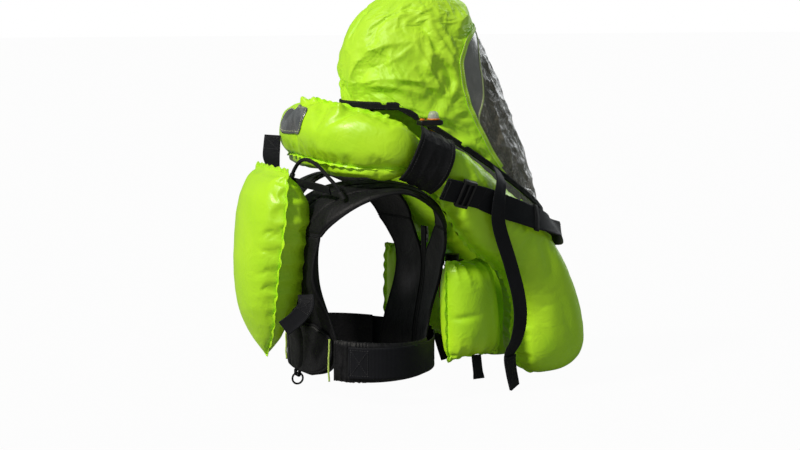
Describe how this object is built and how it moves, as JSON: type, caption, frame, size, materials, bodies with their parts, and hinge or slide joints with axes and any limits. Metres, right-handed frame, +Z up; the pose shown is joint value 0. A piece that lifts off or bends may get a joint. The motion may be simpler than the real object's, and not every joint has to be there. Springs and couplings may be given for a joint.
{
  "type": "inflatable life vest with spray hood",
  "caption": "Inflated life vest: collar, chest, side and back bladders on a padded back harness, with a hood that has a clear visor.",
  "frame": {"origin": "on the wearer's neck axis, at the height of the shoulders, in the middle of the collar's opening", "axes": "the wearer faces -Y, the wearer's left is +X, and +Z points up along the neck, towards the hood's crown"},
  "size_m": [0.4112, 0.5851, 0.6524],
  "materials": {
    "inflated_fabric": "coated nylon, slight sheen",
    "hood_fabric": "thin coated nylon, crumpled",
    "visor_film": "clear flexible film, crinkled",
    "lime_trim": "woven tape",
    "vest_mesh": "padded mesh",
    "webbing": "woven webbing",
    "black_plastic": "moulded, matt",
    "orange_plastic": "moulded, satin",
    "black_rubber": "moulded, matt",
    "steel": "satin",
    "reflective_tape": "retroreflective film"
  },
  "bodies": {
    "vest": {"collar_bladder": "inflated_fabric", "chest_bladder_right": "inflated_fabric", "chest_bladder_left": "inflated_fabric", "inner_bladder_right": "inflated_fabric", "inner_bladder_left": "inflated_fabric", "back_panel": "vest_mesh", "lumbar_pad": "vest_mesh", "shoulder_yoke_right": "vest_mesh", "shoulder_yoke_left": "vest_mesh", "front_panel_right": "vest_mesh", "front_panel_left": "vest_mesh", "front_zip": "black_plastic", "belt_pad_right": "vest_mesh", "belt_pad_left": "vest_mesh", "belt_webbing_right": "webbing", "belt_webbing_left": "webbing", "belt_slack": "webbing", "belt_buckle_socket": "black_plastic", "piping": "lime_trim", "shoulder_band_right": "webbing", "shoulder_band_left": "webbing", "chest_strap_right": "webbing", "chest_strap_left": "webbing", "chest_slack": "webbing", "chest_buckle_socket": "black_plastic", "lobe_strap_right": "webbing", "lobe_strap_left": "webbing", "collar_strap": "webbing", "becket_cord": "webbing", "back_tab": "webbing", "reflective_patches": "reflective_tape", "inflator_body": "black_plastic", "oral_tube": "black_rubber", "oral_valve": "orange_plastic", "relief_valve": "black_plastic", "light_housing": "orange_plastic", "whistle_cord": "webbing"},
    "hood": {"hood_panel_right": "hood_fabric", "hood_panel_left": "hood_fabric", "visor": "visor_film", "visor_seam": "lime_trim", "hood_hem": "webbing"},
    "back_bladder": {"back_bladder": "inflated_fabric"},
    "chest_plug": {"chest_buckle_plug": "black_plastic"},
    "chest_prong_right": {"chest_prong_right": "black_plastic"},
    "chest_prong_left": {"chest_prong_left": "black_plastic"},
    "belt_plug": {"belt_buckle_plug": "black_plastic"},
    "belt_prong_right": {"belt_prong_right": "black_plastic"},
    "belt_prong_left": {"belt_prong_left": "black_plastic"},
    "zip_slider": {"zip_slider": "steel"},
    "adjuster_right": {"strap_adjuster_right": "black_plastic"},
    "adjuster_left": {"strap_adjuster_left": "black_plastic"},
    "lever": {"inflator_lever": "orange_plastic"},
    "toggle": {"pull_toggle": "orange_plastic"},
    "cylinder": {"gas_cylinder": "steel"},
    "oral_stem": {"oral_stem": "steel"},
    "oral_cap": {"oral_cap": "black_plastic"},
    "light_button": {"light_button": "black_plastic"},
    "lumbar_loop": {"lumbar_loop": "webbing"},
    "whistle": {"whistle": "orange_plastic"}
  },
  "joints": [
    {"name": "hood_swing", "type": "hinge", "parent": "vest", "child": "hood", "pos_m": [0, 0.102, 0.093], "axis": [-1, 0, 0], "range_deg": [0, 75]},
    {"name": "back_bladder_swing", "type": "hinge", "parent": "vest", "child": "back_bladder", "pos_m": [0, 0.238, -0.014], "axis": [1, 0, 0], "range_deg": [0, 35]},
    {"name": "chest_buckle_release", "type": "slide", "parent": "vest", "child": "chest_plug", "axis": [1, 0, 0], "range_m": [0, 0.03], "deforming": ["chest_slack"]},
    {"name": "chest_prong_right_squeeze", "type": "hinge", "parent": "chest_plug", "child": "chest_prong_right", "pos_m": [0.0166, -0.243, -0.16], "axis": [0, 1, 0], "range_deg": [0, 6], "stiffness_Nm_per_rad": 0.05},
    {"name": "chest_prong_left_squeeze", "type": "hinge", "parent": "chest_plug", "child": "chest_prong_left", "pos_m": [0.0166, -0.243, -0.128], "axis": [0, -1, 0], "range_deg": [0, 6], "stiffness_Nm_per_rad": 0.05},
    {"name": "belt_buckle_release", "type": "slide", "parent": "vest", "child": "belt_plug", "axis": [1, 0, 0], "range_m": [0, 0.03], "deforming": ["belt_slack"]},
    {"name": "belt_prong_right_squeeze", "type": "hinge", "parent": "belt_plug", "child": "belt_prong_right", "pos_m": [0.0166, -0.0329, -0.342], "axis": [0, 1, 0], "range_deg": [0, 6], "stiffness_Nm_per_rad": 0.05},
    {"name": "belt_prong_left_squeeze", "type": "hinge", "parent": "belt_plug", "child": "belt_prong_left", "pos_m": [0.0166, -0.0329, -0.298], "axis": [0, -1, 0], "range_deg": [0, 6], "stiffness_Nm_per_rad": 0.05},
    {"name": "zip_slide", "type": "slide", "parent": "vest", "child": "zip_slider", "axis": [0, 0, -1], "range_m": [0, 0.06]},
    {"name": "adjuster_right_slide", "type": "slide", "parent": "vest", "child": "adjuster_right", "axis": [0.0303, -0.9673, -0.2519], "range_m": [-0.008, 0.008]},
    {"name": "adjuster_left_slide", "type": "slide", "parent": "vest", "child": "adjuster_left", "axis": [-0.0303, -0.9673, -0.2519], "range_m": [-0.008, 0.008]},
    {"name": "lever_pull", "type": "hinge", "parent": "vest", "child": "lever", "pos_m": [0.027, -0.104, -0.213], "axis": [0, -1, 0], "range_deg": [0, 40]},
    {"name": "toggle_hang", "type": "hinge", "parent": "lever", "child": "toggle", "pos_m": [0.0165, -0.104, -0.2145], "axis": [0, -1, 0], "range_deg": [-45, 5]},
    {"name": "cylinder_screw", "type": "hinge", "parent": "vest", "child": "cylinder", "pos_m": [0.04, -0.104, -0.227], "axis": [0, 0, 1], "continuous": true},
    {"name": "oral_stem_press", "type": "slide", "parent": "vest", "child": "oral_stem", "axis": [0, 0, -1], "range_m": [0, 0.003], "stiffness_N_per_m": 300},
    {"name": "oral_cap_pull", "type": "slide", "parent": "vest", "child": "oral_cap", "axis": [0, 0, 1], "range_m": [0, 0.012]},
    {"name": "light_button_press", "type": "slide", "parent": "vest", "child": "light_button", "axis": [0, 0, -1], "range_m": [0, 0.002], "stiffness_N_per_m": 300},
    {"name": "lumbar_loop_swing", "type": "hinge", "parent": "vest", "child": "lumbar_loop", "pos_m": [0, 0.19, -0.358], "axis": [0, 1, 0], "range_deg": [-45, 45]},
    {"name": "whistle_swing", "type": "hinge", "parent": "vest", "child": "whistle", "pos_m": [-0.036, -0.054, -0.2036], "axis": [-1, 0, 0], "range_deg": [0, 60]}
  ],
  "couplings": [
    {"joint": "chest_prong_left_squeeze", "follows": "chest_prong_right_squeeze", "ratio": 1},
    {"joint": "belt_prong_left_squeeze", "follows": "belt_prong_right_squeeze", "ratio": 1},
    {"joint": "toggle_hang", "follows": "lever_pull", "ratio": -1}
  ]
}
